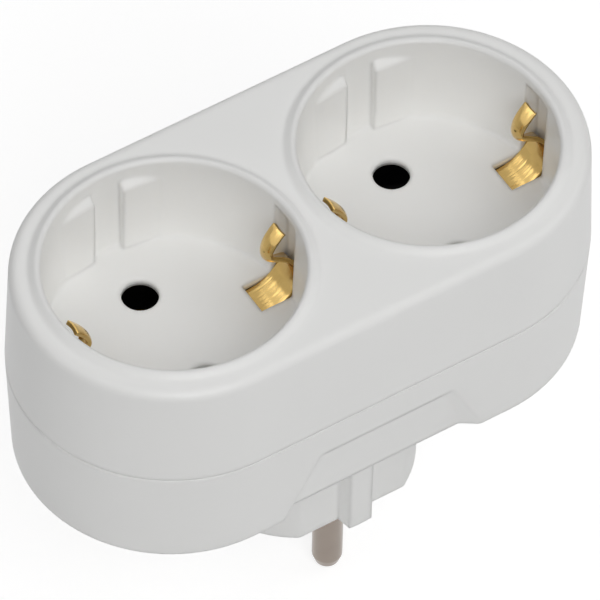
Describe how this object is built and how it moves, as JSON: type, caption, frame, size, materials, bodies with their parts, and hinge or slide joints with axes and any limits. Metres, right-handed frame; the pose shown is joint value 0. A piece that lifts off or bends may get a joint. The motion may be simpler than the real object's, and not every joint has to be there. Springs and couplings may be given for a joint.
{
  "type": "multi socket adapter",
  "caption": "Plug-in mains adapter: a long round-ended body with round recessed earthed sockets side by side on top and a round two-pin plug below.",
  "frame": {"origin": "centre of the plug's face, between its two pins", "axes": "+Z out of the wells, away from the wall; X along the two wells; Y along each pair of pins"},
  "size_m": [0.0958, 0.05, 0.0778],
  "materials": {
    "white_plastic": "satin",
    "brass": "polished",
    "nickel": "satin",
    "screw_steel": "satin",
    "spring_steel": "satin"
  },
  "bodies": {
    "root": {"upper_housing": "white_plastic", "lower_housing": "white_plastic", "plug_earth_clip": "brass", "contact_rivets": "brass", "earth_rivets": "brass", "housing_screws": "screw_steel", "plug_pin_live": "nickel", "bus_bar_live": "brass", "socket_contact_left_live": "brass", "contact_ring_left_live": "spring_steel", "socket_contact_right_live": "brass", "contact_ring_right_live": "spring_steel", "plug_pin_neutral": "nickel", "bus_bar_neutral": "brass", "socket_contact_left_neutral": "brass", "contact_ring_left_neutral": "spring_steel", "socket_contact_right_neutral": "brass", "contact_ring_right_neutral": "spring_steel", "earth_bracket_left": "brass", "earth_bracket_right": "brass"}
  },
  "joints": []
}
